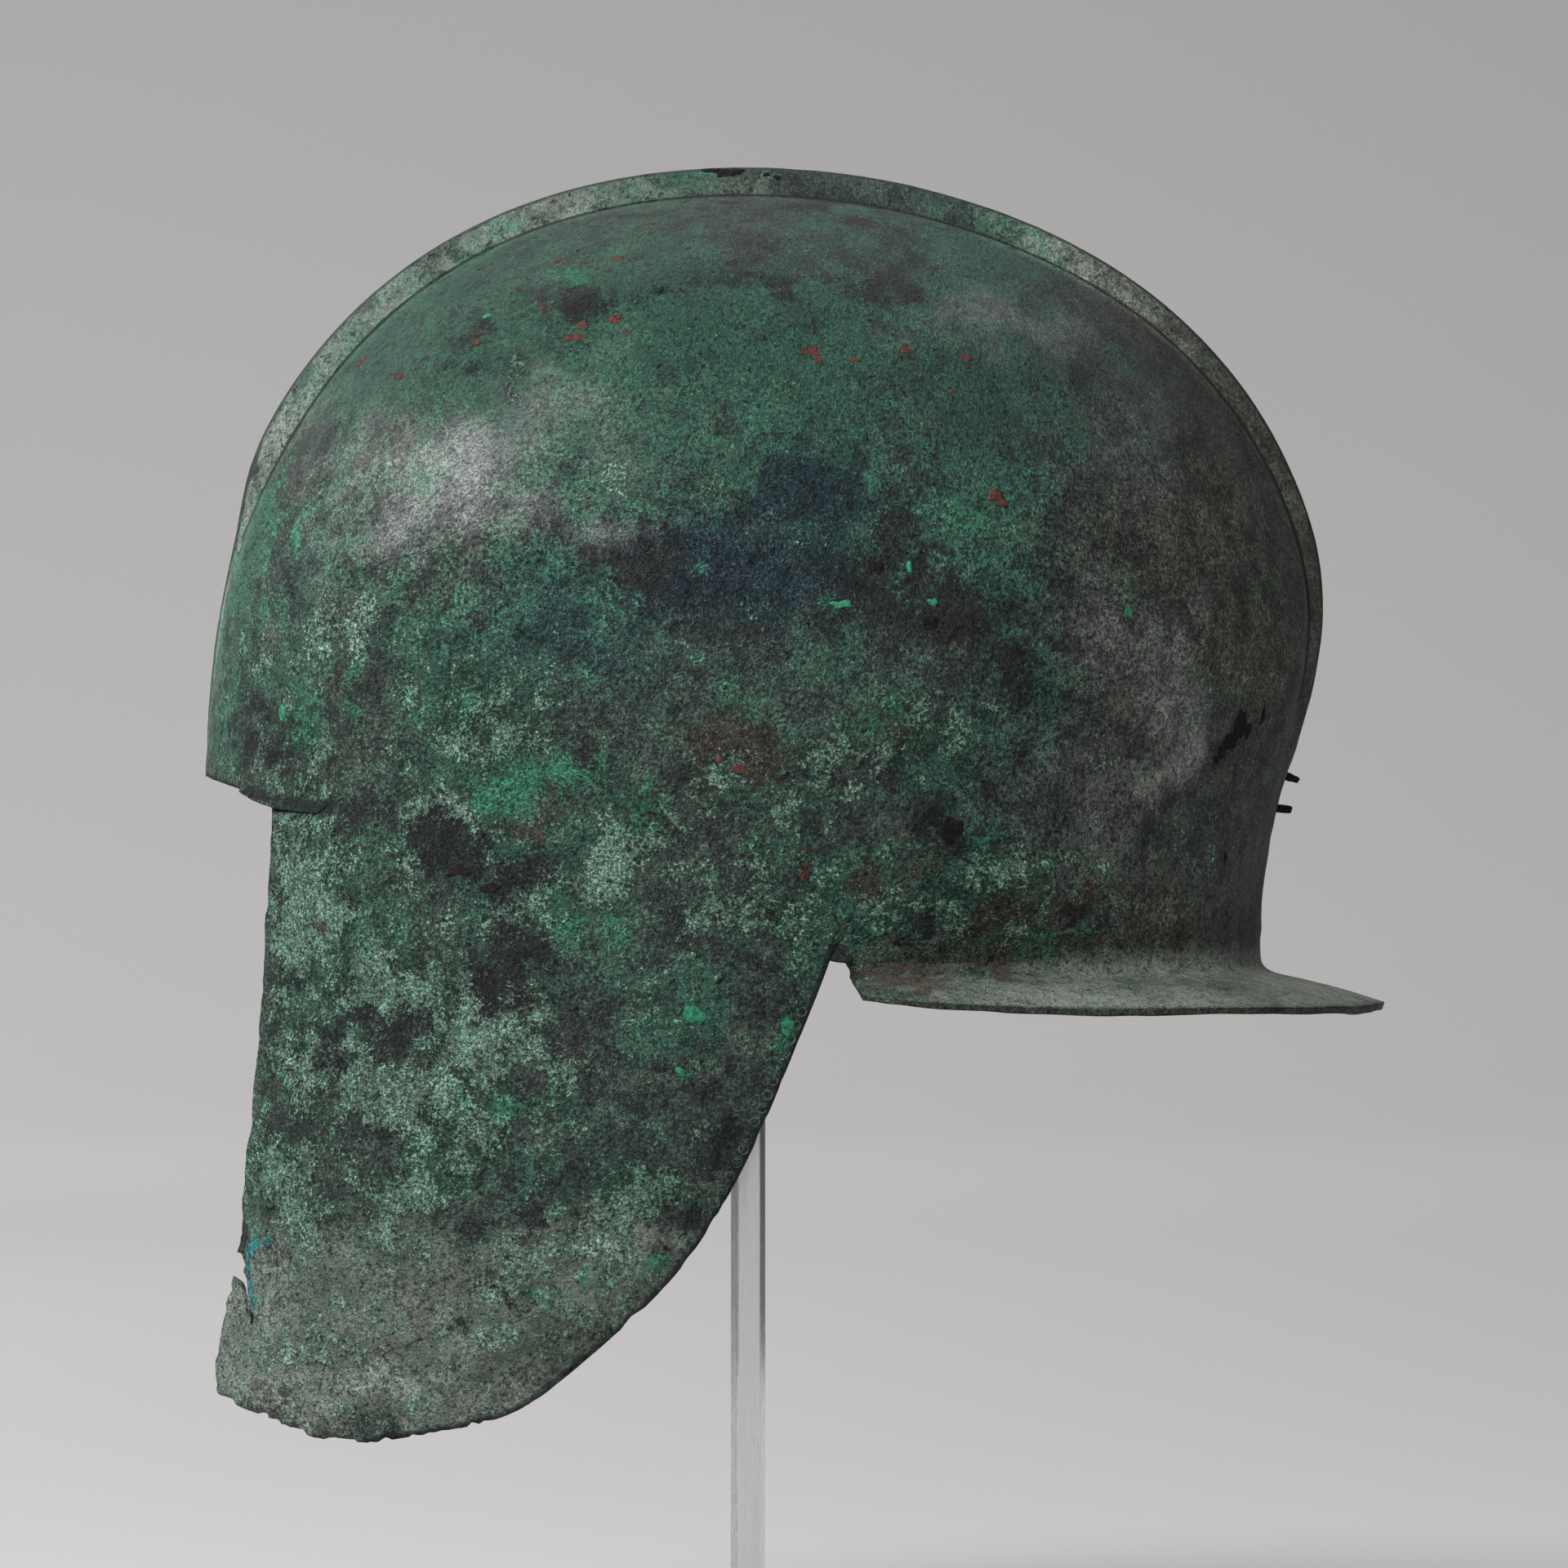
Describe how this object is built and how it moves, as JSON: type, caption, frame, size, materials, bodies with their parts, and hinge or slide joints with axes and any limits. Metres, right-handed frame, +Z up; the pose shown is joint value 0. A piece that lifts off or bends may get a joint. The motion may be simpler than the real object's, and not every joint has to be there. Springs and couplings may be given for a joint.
{
  "type": "illyrian helmet on a plain display stand",
  "caption": "Open-faced bronze helmet with long cheekpieces, a flared neck guard and twin crest ridges, held on a clear square post and base plate.",
  "frame": {"origin": "under the middle of the helmet's length and width, on the surface that the stand rests on", "axes": "+Z up; the helmet faces -X; its left side looks towards -Y"},
  "size_m": [0.2496, 0.204, 0.3297],
  "materials": {
    "bronze": "mottled green and charcoal patina over hammered bronze, rough, with brown-red and blue spots",
    "pin_bronze": "dark corroded bronze, rough",
    "acrylic": "clear, polished faces with faint streaks"
  },
  "bodies": {
    "root": {"helmet_shell": "bronze", "crest_pin_upper": "pin_bronze", "crest_pin_lower": "pin_bronze", "stand_pad": "acrylic", "stand_post": "acrylic", "stand_base": "acrylic"}
  },
  "joints": []
}
